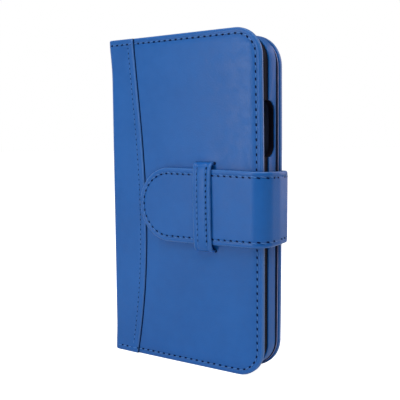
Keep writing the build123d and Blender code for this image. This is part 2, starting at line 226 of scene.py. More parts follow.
def grain_group():
    """Fine leather grain: pore height, soft patches of tone, and how matt each spot is."""
    found = bpy.data.node_groups.get("Leather grain")
    if found:
        return found
    tree, given, made = new_group(
        "Leather grain",
        [("Vector", "NodeSocketVector", None), ("Cell size", "NodeSocketFloat", 0.0007)],
        [("Height", "NodeSocketFloat"), ("Tone", "NodeSocketFloat"), ("Matt", "NodeSocketFloat")],
    )
    scale = math_node(tree, "DIVIDE", 1.0, given["Cell size"])
    cells = add_node(tree, "ShaderNodeTexVoronoi", feature="SMOOTH_F1")
    cells.inputs["Smoothness"].default_value = 0.6
    fine = add_node(tree, "ShaderNodeTexNoise")
    fine.inputs["Detail"].default_value = 4.0
    join(tree, (given["Vector"], cells.inputs["Vector"]), (scale, cells.inputs["Scale"]),
         (given["Vector"], fine.inputs["Vector"]),
         (math_node(tree, "MULTIPLY", scale, 1.7), fine.inputs["Scale"]))
    pores = math_node(tree, "MULTIPLY", cells.outputs["Distance"], 0.6)
    grain = math_node(tree, "ADD", pores, math_node(tree, "MULTIPLY", fine.outputs["Fac"], 0.6))
    patches = noise(tree, given["Vector"], 34.0, 3.0, 0.5)
    clouds = noise(tree, given["Vector"], 210.0, 4.0, 0.6)
    tone = math_node(tree, "ADD", math_node(tree, "MULTIPLY", patches, 0.65),
                     math_node(tree, "MULTIPLY", clouds, 0.35))
    join(tree, (grain, made["Height"]), (ramp_between(tree, tone, 0.3, 0.7), made["Tone"]),
         (ramp_between(tree, clouds, 0.3, 0.75), made["Matt"]))
    return tree


def rubbed_edge_and_highlight_group():
    """Turned and rubbed edges, partly worn and partly a painted highlight: the mask is 1 at the cut edge,
    fades inwards and is broken by wear.
    """
    found = bpy.data.node_groups.get("Rubbed edge and painted highlight")
    if found:
        return found
    tree, given, made = new_group(
        "Rubbed edge and painted highlight",
        [("Vector", "NodeSocketVector", None), ("Reach", "NodeSocketFloat", 1.0)],
        [("Mask", "NodeSocketFloat"), ("Shoulder", "NodeSocketFloat")],
    )
    rim = add_node(tree, "ShaderNodeAttribute", attribute_name="rim").outputs["Fac"]
    near = math_node(tree, "DIVIDE", rim, given["Reach"])
    wear = math_node(tree, "MULTIPLY", noise(tree, given["Vector"], 420.0), 0.5)
    broken = math_node(tree, "ADD", near, wear)
    join(tree, (ramp_between(tree, broken, 0.35, 1.15, 1.0, 0.0), made["Mask"]),
         (ramp_between(tree, near, 0.5, 1.8, 1.0, 0.0), made["Shoulder"]))
    return tree


def material(name):
    """Material, its node tree and its shader. The last two are None when it was already made."""
    made = bpy.data.materials.get(name)
    if made:
        return made, None, None
    made = bpy.data.materials.new(name)
    made.use_nodes = True
    return made, made.node_tree, made.node_tree.nodes["Principled BSDF"]


def object_vector(tree):
    return add_node(tree, "ShaderNodeTexCoord").outputs["Object"]


def use_group(tree, group, vector, **values):
    node = add_node(tree, "ShaderNodeGroup", node_tree=group)
    tree.links.new(vector, node.inputs["Vector"])
    for name, value in values.items():
        node.inputs[name].default_value = value
    return node.outputs


def bump(tree, shader, height, strength, distance):
    node = add_node(tree, "ShaderNodeBump")
    node.inputs["Strength"].default_value = strength
    node.inputs["Distance"].default_value = distance
    join(tree, (height, node.inputs["Height"]), (node.outputs["Normal"], shader.inputs["Normal"]))


def leather(name, base, shade, edge, roughness=(0.33, 0.42), cell=0.0008, depth=GRAIN, rubbed_and_lit_share=0.75):
    """Dyed leather with fine grain, uneven tone, and edges painted lighter: partly rubbed wear, partly a
    painted highlight.
    """
    made, tree, shader = material(name)
    if tree is None:
        return made
    vector = object_vector(tree)
    grain = use_group(tree, grain_group(), vector, **{"Cell size": cell})
    rubbed_and_lit = use_group(tree, rubbed_edge_and_highlight_group(), vector)
    body = mix_colour(tree, grain["Tone"], rgba(shade), rgba(base))
    # The cut edges are painted lighter: partly wear, partly a painted highlight.
    worn_and_lit = math_node(tree, "MULTIPLY", rubbed_and_lit["Mask"], rubbed_and_lit_share)
    join(tree, (mix_colour(tree, worn_and_lit, body, rgba(edge)), shader.inputs["Base Color"]))
    matt = ramp_between(tree, grain["Matt"], 0.0, 1.0, *roughness)
    polished = math_node(tree, "MULTIPLY", rubbed_and_lit["Mask"], 0.06)
    join(tree, (math_node(tree, "SUBTRACT", matt, polished), shader.inputs["Roughness"]))
    rolling = noise(tree, vector, 55.0, 2.0, 0.5)
    height = math_node(tree, "ADD", grain["Height"], math_node(tree, "MULTIPLY", rolling, 3.0))
    bump(tree, shader, height, depth, 0.0001)
    shader.inputs["Specular IOR Level"].default_value = 0.35
    shader.inputs["Sheen Weight"].default_value = 0.02
    shader.inputs["Sheen Roughness"].default_value = 0.5
    return made


def outer_leather():
    c = colours()
    return leather("Outer leather", c.leather, c.shade, c.edge)


def pocket_leather():
    c = colours()
    return leather("Pocket leather", c.backing, c.shade, c.edge, (0.5, 0.62), 0.0006, 0.3, 0.5)


def strap_backing():
    c = colours()
    return leather("Strap backing", c.backing, c.shade, c.edge, (0.6, 0.75), 0.0009, 0.5, 0.6)


def thread_finish():
    """Twisted thread."""
    made, tree, shader = material("Thread")
    if tree is None:
        return made
    vector = object_vector(tree)
    strands = add_node(tree, "ShaderNodeTexWave", wave_type="BANDS", bands_direction="DIAGONAL")
    strands.inputs["Scale"].default_value = 900.0
    strands.inputs["Distortion"].default_value = 1.5
    join(tree, (vector, strands.inputs["Vector"]))
    base = colours().thread
    tint = mix_colour(tree, strands.outputs["Fac"], toned(base, 0.72), rgba(base))
    fluff = noise(tree, vector, 2600.0, 2.0)
    join(tree, (tint, shader.inputs["Base Color"]),
         (ramp_between(tree, fluff, 0.3, 0.7, 0.5, 0.7), shader.inputs["Roughness"]))
    bump(tree, shader, strands.outputs["Fac"], 0.5, 0.0001)
    shader.inputs["Sheen Weight"].default_value = 0.2
    return made


# Dark finish that stands in for shade: painted shade in holes and slits, and a painted shadow line beside the
# seam.
def painted_shade_finish():
    made, tree, shader = material("Needle hole")
    if tree is None:
        return made
    # Darker in patches: painted shade deepening inside the holes.
    depth = noise(tree, object_vector(tree), 1800.0, 2.0)
    base = colours().hole
    join(tree, (mix_colour(tree, depth, toned(base, 0.5), rgba(base)), shader.inputs["Base Color"]),
         (ramp_between(tree, depth, 0.3, 0.7, 0.8, 0.95), shader.inputs["Roughness"]))
    shader.inputs["Specular IOR Level"].default_value = 0.1
    return made


def microfibre():
    """Napped lining: fibre noise, soft sheen, and a pale cut edge that is a painted highlight."""
    made, tree, shader = material("Microfibre")
    if tree is None:
        return made
    vector = object_vector(tree)
    fibre = noise(tree, vector, 2400.0, 5.0, 0.7)
    brushed = noise(tree, vector, 70.0, 3.0, 0.6)
    base = colours().lining
    body = mix_colour(tree, ramp_between(tree, brushed, 0.3, 0.7), toned(base, 0.8), rgba(base))
    body = mix_colour(tree, ramp_between(tree, fibre, 0.35, 0.75, 0.0, 0.35), body, toned(base, 1.5))
    rubbed_and_lit = use_group(tree, rubbed_edge_and_highlight_group(), vector, Reach=0.25)
    # The cut edge is painted pale: a painted highlight.
    body = mix_colour(tree, rubbed_and_lit["Mask"], body, rgba(colours().lining_edge_highlight))
    join(tree, (body, shader.inputs["Base Color"]),
         (ramp_between(tree, fibre, 0.3, 0.7, 0.8, 0.95), shader.inputs["Roughness"]))
    bump(tree, shader, fibre, 0.6, 0.00012)
    shader.inputs["Sheen Weight"].default_value = 0.35
    shader.inputs["Specular IOR Level"].default_value = 0.2
    return made


def moulded_plastic():
    """Satin moulded plastic with a fine spark texture."""
    made, tree, shader = material("Moulded plastic")
    if tree is None:
        return made
    vector = object_vector(tree)
    spark = noise(tree, vector, 2200.0, 3.0, 0.6)
    cloud = noise(tree, vector, 120.0, 2.0)
    base = colours().plastic
    join(tree, (mix_colour(tree, cloud, toned(base, 0.8), toned(base, 1.3)),
                shader.inputs["Base Color"]),
         (ramp_between(tree, cloud, 0.3, 0.7, 0.5, 0.62), shader.inputs["Roughness"]))
    shader.inputs["Specular IOR Level"].default_value = 0.2
    bump(tree, shader, spark, 0.35, 0.00005)
    return made


def board_finish():
    """Pressed fibre board with flecks."""
    made, tree, shader = material("Board")
    if tree is None:
        return made
    vector = object_vector(tree)
    pulp = noise(tree, vector, 500.0, 6.0, 0.75)
    base = colours().board
    join(tree, (mix_colour(tree, pulp, toned(base, 0.65), toned(base, 1.25)),
                shader.inputs["Base Color"]),
         (ramp_between(tree, pulp, 0.3, 0.7, 0.8, 0.95), shader.inputs["Roughness"]))
    bump(tree, shader, pulp, 0.5, 0.0001)
    return made


def steel_finish():
    """Brushed steel."""
    made, tree, shader = material("Steel")
    if tree is None:
        return made
    stretch = add_node(tree, "ShaderNodeMapping")
    stretch.inputs["Scale"].default_value = (30.0, 1.0, 1.0)
    join(tree, (object_vector(tree), stretch.inputs["Vector"]))
    brush = noise(tree, stretch.outputs["Vector"], 90.0, 4.0, 0.7)
    base = colours().steel
    join(tree, (mix_colour(tree, brush, toned(base, 0.85), rgba(base)), shader.inputs["Base Color"]),
         (ramp_between(tree, brush, 0.3, 0.7, 0.28, 0.42), shader.inputs["Roughness"]))
    shader.inputs["Metallic"].default_value = 1.0
    bump(tree, shader, brush, 0.2, 0.00003)
    return made


# ---------------------------------------------------------------- cutting and folding

def pattern(low, high, corners=(0, 0, 0, 0)):
    """New flat piece between two corners. Corner radii run from the low corner round by the right."""
    bm = bmesh.new()
    bm.verts.layers.float.new("rim")
    middle, size = (Vector(low) + Vector(high)) / 2, Vector(high) - Vector(low)
    place = Matrix.Translation((*middle, 0)) @ Matrix.Diagonal((*size, 1, 1))
    bmesh.ops.create_grid(bm, x_segments=1, y_segments=1, size=0.5, matrix=place)
    places = [(low[0], low[1]), (high[0], low[1]), (high[0], high[1]), (low[0], high[1])]
    rounded = [(min(bm.verts, key=lambda v: hypot(v.co.x - x, v.co.y - y)), radius)
               for (x, y), radius in zip(places, corners)]
    for vert, radius in rounded:
        if radius > 0:
            bmesh.ops.bevel(bm, geom=[vert], offset=radius, offset_type="OFFSET", segments=16, profile=0.5,
                            affect="VERTICES", material=-1)
    bmesh.ops.remove_doubles(bm, verts=bm.verts, dist=0.05)
    return bm, bm.faces[:][0]


def press(bm, face, rings, outward=1):
    """Steps a face inwards, ring by ring, and notes on each vertex how far it is from the cut edge."""
    rim = bm.verts.layers.float["rim"]
    reached = 0.0
    for inset, rise in rings:
        bmesh.ops.inset_region(bm, faces=[face], thickness=inset, use_even_offset=True)
        bmesh.ops.translate(bm, verts=face.verts, vec=(0, 0, rise * outward))
        reached += inset
        for vert in face.verts:
            vert[rim] = reached
    return face


def thicken(bm, face, thickness, top, back=()):
    """Gives a flat outline its thickness, with rings pressed into its top and back. Returns both faces."""
    made = bmesh.ops.extrude_face_region(bm, geom=[face], use_keep_orig=True)["geom"]
    upper = next(item for item in made if isinstance(item, bmesh.types.BMFace))
    bmesh.ops.translate(bm, verts=upper.verts, vec=(0, 0, thickness - sum(rise for _, rise in top)))
    lower_level = sum(rise for _, rise in back)
    bmesh.ops.translate(bm, verts=face.verts, vec=(0, 0, lower_level))
    bmesh.ops.recalc_face_normals(bm, faces=bm.faces)
    press(bm, upper, top)
    press(bm, face, back, -1)
    return upper, face


def cut(bm, axis, places):
    """Adds straight cuts across a piece, so that it can bend there."""
    normal = Vector((1, 0, 0)) if axis == 0 else Vector((0, 1, 0))
    for place in places:
        geometry = bm.verts[:] + bm.edges[:] + bm.faces[:]
        bmesh.ops.bisect_plane(bm, geom=geometry, dist=1e-4, plane_co=normal * place, plane_no=normal)


def steps(start, end, step):
    count = max(1, round((end - start) / step))
    return [start + (end - start) * index / count for index in range(count + 1)]


def half_of(bm, place, keep_high):
    """Copy of a piece with everything on one side of a cross cut removed."""
    half = bm.copy()
    bmesh.ops.bisect_plane(half, geom=half.verts[:] + half.edges[:] + half.faces[:], dist=1e-4,
                           plane_co=(place, 0, 0), plane_no=(1, 0, 0),
                           clear_inner=keep_high, clear_outer=not keep_high)
    return half


def fold(bm, place):
    """Moves a flat pattern, in millimetres, to where it lies on the wallet, in metres."""
    for vert in bm.verts:
        vert.co = Vector(place(*vert.co)) * MM


class Route:
    """A run of leather seen from its edge. It turns a distance along and a height above into a place."""

    def __init__(self, points, left=True):
        self.points = [Vector(point) for point in points]
        self.side = 1 if left else -1
        self.reach = [0.0]
        for start, end in zip(self.points, self.points[1:]):
            self.reach.append(self.reach[-1] + (end - start).length)
        self.length = self.reach[-1]

    def direction(self, index):
        low, high = max(index - 1, 0), min(index + 1, len(self.points) - 1)
        return (self.points[high] - self.points[low]).normalized()

    def place(self, along, above):
        index = min(max(bisect_right(self.reach, along) - 1, 0), len(self.points) - 2)
        start, end = self.reach[index], self.reach[index + 1]
        share = (along - start) / (end - start)
        point = self.points[index].lerp(self.points[index + 1], share)
        run = self.direction(index).lerp(self.direction(index + 1), min(max(share, 0), 1)).normalized()
        return point + Vector((-run.y, run.x)) * self.side * above

    def nearest(self, target):
        """Distance along the run of the spot that is closest to a point."""
        target, found = Vector(target), []
        for start, end, reach in zip(self.points, self.points[1:], self.reach):
            run = end - start
            share = min(max((target - start).dot(run) / run.length_squared, 0.0), 1.0)
            found.append(((start + run * share - target).length, reach + share * run.length))
        return min(found)[1]


def rounded_run(corners, radii, turns=14):
    """Points of a run with straight stretches and rounded corners."""
    points = [Vector(corners[0])]
    for before, corner, after, radius in zip(corners, corners[1:], corners[2:], radii):
        corner = Vector(corner)
        back, ahead = (Vector(before) - corner).normalized(), (Vector(after) - corner).normalized()
        half = back.angle(ahead) / 2
        tangent = radius / max(np.tan(half), 1e-6)
        centre = corner + (back + ahead).normalized() * radius / sin(half)
        first, last = corner + back * tangent - centre, corner + ahead * tangent - centre
        sweep = first.angle_signed(last)
        for index in range(turns + 1):
            points.append(centre + Matrix.Rotation(-sweep * index / turns, 2) @ first)
    points.append(Vector(corners[-1]))
    return points


def settle(point):
    """The closed front cover leans a little: its foot rests nearer to the shell than its top."""
    x, y, z = point
    share = smooth(x, FRONT_LOW.x * MM, FRONT_HIGH.x * MM) * smooth(-y, 0.003, 0.006)
    middle = MIDDLE_HEIGHT * MM
    lean = 0.0011 * (middle - z) / middle
    rounding = 0.0006 * max((x - 0.022) / 0.018, 0.0) ** 2
    return Vector((x, y + lean * share + rounding, z))


def finish(bm, name, materials, slot, nodes=(), body=None, lean=False):
    """Turns a finished mesh into an object of the wallet."""
    bmesh.ops.remove_doubles(bm, verts=bm.verts, dist=2e-6)
    bmesh.ops.recalc_face_normals(bm, faces=bm.faces)
    for face in bm.faces:
        face.smooth = True
    if lean:
        for vert in bm.verts:
            vert.co = settle(vert.co)
    mesh = bpy.data.meshes.new(name)
    bm.to_mesh(mesh)
    bm.free()
    for finish_used in materials:
        mesh.materials.append(finish_used)
    piece = bpy.data.objects.new(name, mesh)
    bpy.context.scene.collection.objects.link(piece)
    if nodes:
        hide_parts(*nodes)
    if body:
        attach(piece, body)
    return piece


# ---------------------------------------------------------------- where things lie

FRONT_LOW, FRONT_HIGH = span("front_leather")
REAR_LOW, REAR_HIGH = span("rear_leather")
PANEL_LOW, PANEL_HIGH = span("spine_panel")
FRONT_PANEL_FACE = span("front_spine_panel")[0].y
REAR_PANEL_FACE = span("rear_spine_panel")[1].y
TONGUE_LOW, TONGUE_HIGH = span("strap_tongue_leather")
BACKING_HIGH = span("strap_tongue_lining")[1]
BEND_LOW, BEND_HIGH = span("strap_bend_leather")
ROOT_LOW, ROOT_HIGH = span("strap_root_leather")
KEEPER_LOW, KEEPER_HIGH = span("keeper_loop")
MID_DEPTH = (PANEL_LOW.y + PANEL_HIGH.y) / 2

# The spine panel's curved edge: how far it is from the spine at each height
SEAM_TOP = 152.0
SEAM_HEIGHTS = (0.0, 38.0, 72.0, 118.0, SEAM_TOP)
SEAM_REACH = (14.0, 19.4, 20.4, 17.4, 14.0)
SEAM = np.polyfit(SEAM_HEIGHTS, SEAM_REACH, 4)

# Rear camera window: middle x and z, width, height and corner radius. It hides the board's own cut edge.
CAMERA_WINDOW = (22.7, 126.5, 17.2, 34.2, 6.6)

STRAP_HALF_WIDTH = 17.1
STRAP_ROOT_HALF_WIDTH = 15.6
MIDDLE_HEIGHT = 76.0


def seam_reach(z):
    return float(np.polyval(SEAM, z))


def seam_x(z, height):
    """Place of the spine panel's curved edge at height z on a cover of some height."""
    return PANEL_LOW.x + seam_reach(z * SEAM_TOP / height)


def bow(x, z):
    """Free edges bow out a little between their corners."""
    return x + 0.45 * smooth(x, 6.0, FRONT_HIGH.x) * (1 - ((z - MIDDLE_HEIGHT) / MIDDLE_HEIGHT) ** 2)


def pucker(x, z):
    """Leather pulled up around the two slits that hold the keeper's ends."""
    rise = 0.0
    for end in (KEEPER_LOW.z - 1.4, KEEPER_HIGH.z + 1.4):
        across = (x - (KEEPER_LOW.x + KEEPER_HIGH.x) / 2) / 6.5
        along = (z - end) / 3.0
        rise += 0.3 * np.exp(-across ** 2 - along ** 2)
    return float(rise)


def on_front(base, puckered=False):
    """Places a pattern on the front, with height measured towards the front from base."""
    def place(x, z, height):
        raised = pucker(x, z) if puckered and height > 1.5 else 0.0
        return bow(x, z), base - height - raised, z
    return place


def inside_front(base):
    def place(x, z, height):
        return bow(x, z), base + height, z
    return place


def on_rear(base, outward=1):
    def place(x, z, height):
        return bow(x, z), base + outward * height, z
    return place


def cover_pattern(low, high, corner, inset=0.0):
    radius = max(corner - inset, 0.5)
    return pattern((low.x, inset), (high.x - inset, high.z - inset), (0, radius, radius, 0))


# ---------------------------------------------------------------- sewing

def row_places(points, pitch, ends=0.5):
    """Even places along a row: point, heading."""
    line = Route(points)
    count = max(1, round(line.length / pitch))
    for index in range(count):
        along = (index + ends) * line.length / count
        point, ahead = line.place(along, 0), line.place(along + 0.05, 0)
        yield point, atan2(ahead.y - point.y, ahead.x - point.x)


def sew(bm, points, level, pitch=None, lean=0.0, thread=1.0, hole=1.0):
    """Adds a row of stitches, each a thread between two needle holes, on a flat pattern. Each hole is a flat
    dark disc of painted shade.

    level is the height of the leather, or a function of the place.
    """
    size = sizes()
    pitch = pitch or mm(size.pitch)
    width, opening = mm(size.thread) * thread, mm(size.hole) * hole
    height_at = level if callable(level) else lambda x, y: level
    for point, heading in row_places(points, pitch):
        turn = Matrix.Rotation(heading, 4, "Z") @ Matrix.Rotation(lean, 4, "Z")
        place = Matrix.Translation((point.x, point.y, height_at(point.x, point.y))) @ turn
        before = set(bm.faces)
        bmesh.ops.create_uvsphere(bm, u_segments=8, v_segments=6, radius=1.0,
                                  matrix=place @ Matrix.Diagonal((pitch * 0.36, width / 2, 0.2, 1)))
        threads = set(bm.faces) - before
        shift = Matrix.Translation((pitch / 2, 0, 0.03))
        # The needle hole is a flat dark disc: painted shade.
        bmesh.ops.create_circle(bm, cap_ends=True, segments=10, radius=1.0,
                                matrix=place @ shift @ Matrix.Diagonal((opening * 0.95, opening / 2, 1, 1)))
        for face in set(bm.faces) - before - threads:
            face.material_index = 1


def stitching(name, rows, place, nodes, body=None, lean=False):
    """Object made of rows of stitches. Each row is (points, level, extra settings for sew)."""
    bm = bmesh.new()
    for points, level, extra in rows:
        sew(bm, points, level, **extra)
    fold(bm, place)
    return finish(bm, name, [thread_finish(), painted_shade_finish()], "thread", nodes, body, lean)


def cover_row(low, high, corner, inset):
    """Sewing line along a cover's bottom, free and top edges."""
    turn = corner - inset
    left, right = low.x - 1.0, high.x - inset
    return rounded_run([(left, inset), (right, inset), (right, high.z - inset), (left, high.z - inset)],
                       [turn, turn])


def seam_row(height):
    inset = mm(sizes().seam_inset)
    return [(seam_x(z, height) - inset, z) for z in steps(4.5, height - 4.5, 3.0)]


# ---------------------------------------------------------------- pieces

def build_front_cover():
    size = sizes()
    corner, lining = mm(size.front_corner), mm(size.lining)
    bm, face = cover_pattern(FRONT_LOW, FRONT_HIGH, corner)
    thickness = FRONT_HIGH.y - FRONT_LOW.y - lining
    thicken(bm, face, thickness, SEWN, THIN)
    cut(bm, 0, steps(-30.0, 34.0, 5.0) + steps(KEEPER_LOW.x - 5.0, KEEPER_HIGH.x + 5.0, 1.6))
    cut(bm, 1, steps(10.0, 142.0, 8.0) + steps(47.0, 57.0, 0.8) + steps(92.0, 102.0, 0.8))
    fold(bm, on_front(FRONT_HIGH.y - lining, puckered=True))
    finish(bm, "front_cover_leather", [outer_leather()], "outer_leather", ["front_leather"], "front_cover",
           lean=True)

    low, high = span("front_board")
    bm, face = pattern((low.x, low.z), (high.x, high.z), (0, corner - 1.0, corner - 1.0, 0))
    thicken(bm, face, high.y - low.y, [(0.1, 0.05), (0.3, 0.0)])
    cut(bm, 0, steps(-30.0, 34.0, 6.0))
    cut(bm, 1, steps(10.0, 142.0, 8.0))
    fold(bm, inside_front(low.y))
    finish(bm, "front_cover_board", [board_finish()], "board", ["front_board"], "front_cover", lean=True)

    bm, face = cover_pattern(FRONT_LOW, FRONT_HIGH, corner, 0.3)
    thicken(bm, face, lining, [(0.1, 0.06), (0.25, 0.0)])
    cut(bm, 0, steps(-30.0, 34.0, 6.0))
    cut(bm, 1, steps(10.0, 142.0, 8.0))
    fold(bm, inside_front(FRONT_HIGH.y - lining))
    finish(bm, "front_cover_lining", [microfibre()], "microfibre", ["front_lining"], "front_cover", lean=True)


def build_rear_cover():
    size = sizes()
    corner, lining = mm(size.rear_corner), mm(size.lining)
    x, z, width, height, radius = CAMERA_WINDOW

    def with_window(low_inset, thickness, rings, back, place, name, finish_used, slot, node):
        bm, face = cover_pattern(REAR_LOW, REAR_HIGH, corner, low_inset)
        upper, lower = thicken(bm, face, thickness, rings, back)
        open_window(bm, upper, lower, x, z, width, height, radius, thickness)
        cut(bm, 1, steps(14.0, 140.0, 9.0))
        fold(bm, place)
        piece = finish(bm, name, [finish_used], slot, [node], "rear_cover")
        piece.modifiers.new("Even shading", "WEIGHTED_NORMAL")

    with_window(0.0, REAR_HIGH.y - REAR_LOW.y - lining, SEWN, THIN, on_rear(REAR_LOW.y + lining),
                "rear_cover_leather", outer_leather(), "outer_leather", "rear_leather")
    with_window(0.9, lining, [(0.1, 0.06), (0.25, 0.0)], (), on_rear(REAR_LOW.y + lining, -1),
                "rear_cover_lining", microfibre(), "microfibre", "rear_lining")


def open_window(bm, upper, lower, x, z, width, height, radius, thickness):
    """Opens a rounded window through a plate. The roll round it grows outwards from the window's size."""
    rim = bm.verts.layers.float["rim"]
    roll = [(0.5, 0.0), (0.3, -0.06), (0.2, -0.14), (0.1, -0.2)] if thickness > 1.0 else [(0.1, 0.0)]
    grown = sum(inset for inset, _ in roll)
    shifts = {}
    for face in (upper, lower):
        edges = face.edges[:]
        level = face.verts[0].co.z
        bmesh.ops.delete(bm, geom=[face], context="FACES_ONLY")
        shifts[level] = edges
    top_level, low_level = max(shifts), min(shifts)
    middle = Matrix.Translation((x, z, top_level)) @ Matrix.Diagonal((width, height, 1, 1))
    made = bmesh.ops.create_grid(bm, x_segments=1, y_segments=1, size=0.5, matrix=middle)["verts"]
    known = set(bm.verts) - set(made)
    bmesh.ops.bevel(bm, geom=made, offset=radius, offset_type="OFFSET", segments=10, profile=0.5,
                    affect="VERTICES", material=-1)
    ring = [vert for vert in bm.verts if vert not in known]
    window = next(face for face in ring[0].link_faces)
    outer_edges = window.edges[:]
    for vert in ring:
        vert[rim] = 3.0
    reached = grown
    for inset, rise in roll:
        bmesh.ops.inset_region(bm, faces=[window], thickness=inset, use_even_offset=True)
        bmesh.ops.translate(bm, verts=window.verts, vec=(0, 0, rise))
        reached -= inset
        for vert in window.verts:
            vert[rim] = reached
    inner = window.edges[:]
    bmesh.ops.delete(bm, geom=[window], context="FACES_ONLY")
    sides = bmesh.ops.extrude_edge_only(bm, edges=inner)["geom"]
    foot = [item for item in sides if isinstance(item, bmesh.types.BMVert)]
    for vert in foot:
        vert.co.z = low_level
    foot_edges = [item for item in sides if isinstance(item, bmesh.types.BMEdge)
                  and item.verts[0] in foot and item.verts[1] in foot]
    bmesh.ops.triangle_fill(bm, use_beauty=True, edges=shifts[top_level] + outer_edges)
    bmesh.ops.triangle_fill(bm, use_beauty=True, edges=shifts[low_level] + foot_edges)


def wrap_route(radius):
    """Outer face of the wrap seen from above, from the rear seam round the spine to the front seam."""
    low, high, out = FRONT_PANEL_FACE, REAR_PANEL_FACE, PANEL_LOW.x
    points = rounded_run([(0.0, high), (out, high), (out, low), (0.0, low)], [radius, radius])
    return Route(points, left=False)


def wrap_place(route, middle, thickness):
    """Places the flat wrap. It flares a little at the spine, and its rear half is a little shorter."""
    def place(along, z, height):
        at = route.place(middle + along, height - thickness)
        rear_share = smooth(at.y, -7.0, 8.0)
        level = z * (1 - rear_share * (1 - REAR_HIGH.z / FRONT_HIGH.z))
        near_spine = 1 - smooth(at.x, PANEL_LOW.x, PANEL_LOW.x + 9.0)
        flare = 1.3 * smooth(z, 128.0, SEAM_TOP) ** 2 + 0.5 * (1 - smooth(z, 0.0, 14.0))
        return at.x - flare * near_spine, at.y, level
    return place


def build_spine_wrap():
    size = sizes()
    thickness, radius = mm(size.wrap), mm(size.wrap_round)
    route = wrap_route(radius)
    middle = route.nearest((PANEL_LOW.x, MID_DEPTH))
    straight = {}
    for name, depth in (("front", FRONT_PANEL_FACE), ("rear", REAR_PANEL_FACE)):
        straight[name] = abs(depth - route.place(middle, 0).y) - radius + radius * pi / 2 - radius

    bm = bmesh.new()
    bm.verts.layers.float.new("rim")
    bmesh.ops.create_grid(bm, x_segments=1, y_segments=64, size=0.5)
    for vert in bm.verts:
        z = (vert.co.y + 0.5) * FRONT_HIGH.z
        reach = seam_reach(z)
        vert.co = (straight["front"] + reach, z, 0) if vert.co.x > 0 else (-straight["rear"] - reach, z, 0)
    inner = [edge for edge in bm.edges if len(edge.link_faces) == 2]
    bmesh.ops.dissolve_edges(bm, edges=inner, use_verts=False)
    thicken(bm, bm.faces[:][0], thickness, ROLLED, [(0.12, 0.18), (0.3, 0.1)])
    turn = radius * pi / 2
    for name, sign in (("front", 1), ("rear", -1)):
        start = straight[name] + radius - turn
        cut(bm, 0, [sign * place for place in steps(start - 0.4, start + turn + 0.4, 0.32)])
        cut(bm, 0, [sign * place for place in steps(2.0, start - 1.0, 1.6)])
        cut(bm, 0, [sign * place for place in steps(start + turn + 1.0, start + turn + 9.0, 2.0)])
    cut(bm, 1, steps(2.0, 14.0, 2.0) + steps(24.0, 126.0, 8.5) + steps(129.0, 150.0, 1.8))

    for name, keep_high, body, node, face_y in (
        ("front", True, "front_cover", ["front_spine_panel", "spine_panel"], FRONT_PANEL_FACE),
        ("rear", False, "rear_cover", ["rear_spine_panel"], REAR_PANEL_FACE),
    ):
        half = half_of(bm, 0.0, keep_high)
        fold(half, wrap_place(route, middle, thickness))
        piece = finish(half, f"spine_wrap_{name}", [outer_leather()], "outer_leather", node)
        at_spine = (PANEL_LOW.x * MM, (PANEL_LOW.y if keep_high else PANEL_HIGH.y) * MM, 0)
        at_cover = (FRONT_LOW.x * MM, face_y * MM, 0)
        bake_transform(piece, "spine", body, start=at_spine, end=at_cover)
    bm.free()


def build_spine_lining():
    """Thin lining that carries on from one cover, over the spine, to the other."""
    inset = span("spine_lining")[1].x
    tail = inset + 9.0
    corners = [(tail, FRONT_HIGH.y), (inset, FRONT_HIGH.y), (inset, REAR_LOW.y), (tail, REAR_LOW.y)]
    points = rounded_run(corners, [1.4, 1.4])
    route = Route(points, left=False)
    middle = route.nearest((inset, MID_DEPTH))
    height = REAR_HIGH.z - 1.2
    bm, face = pattern((0.4, 1.2), (route.length - 0.4, height), (2, 2, 2, 2))
    thicken(bm, face, 0.3, [(0.08, 0.08), (0.2, 0.0)])
    cut(bm, 0, steps(5.0, route.length - 5.0, 0.45))
    cut(bm, 1, steps(10.0, 140.0, 13.0))
    for name, keep_high, body, depth in (("front", False, "front_cover", FRONT_HIGH.y),
                                         ("rear", True, "rear_cover", REAR_LOW.y)):
        half = half_of(bm, middle, keep_high)
        fold(half, lambda along, z, rise: (*route.place(along, rise), z))
        node = ["spine_lining"] if name == "front" else []
        piece = finish(half, f"spine_lining_{name}", [microfibre()], "microfibre", node)
        inward = 3.0 if name == "front" else -3.0
        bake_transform(piece, "spine", body, start=(inset * MM, (depth + inward) * MM, 0),
                 end=((inset + 4.0) * MM, depth * MM, 0))
    bm.free()


def build_pockets():
    rings = THIN + [(0.9, 0.0), (0.15, -0.05), (0.2, 0.0), (0.15, 0.05), (0.3, 0.0)]
    for node in ("bill_pocket", "card_pocket_upper", "card_pocket_middle", "card_pocket_lower"):
        low, high = span(node)
        corner = 6.0 if node == "bill_pocket" else 3.0
        bm, face = pattern((low.x, low.z), (high.x, high.z), (corner,) * 4)
        thicken(bm, face, high.y - low.y, rings)
        cut(bm, 0, steps(-30.0, 34.0, 6.0))
        cut(bm, 1, steps(10.0, 142.0, 8.0))
        fold(bm, lambda x, z, height, base=low.y: (x, base + height, z))
        finish(bm, f"{node}_leather", [pocket_leather()], "pocket_leather", [node], "front_cover", lean=True)

    low, high = span("pocket_stitching")
    half = mm(sizes().thread) / 2
    left, right, foot, top = low.x + half, high.x - half, low.z + half, high.z
    points = rounded_run([(left, top), (left, foot), (right, foot), (right, top)], [2.0, 2.0])
    base = span("card_pocket_lower")[1].y
    stitching("pocket_sewing", [(points, 0.0, {})], lambda x, z, height: (x, base + height, z),
              ["pocket_stitching"], "front_cover", lean=True)


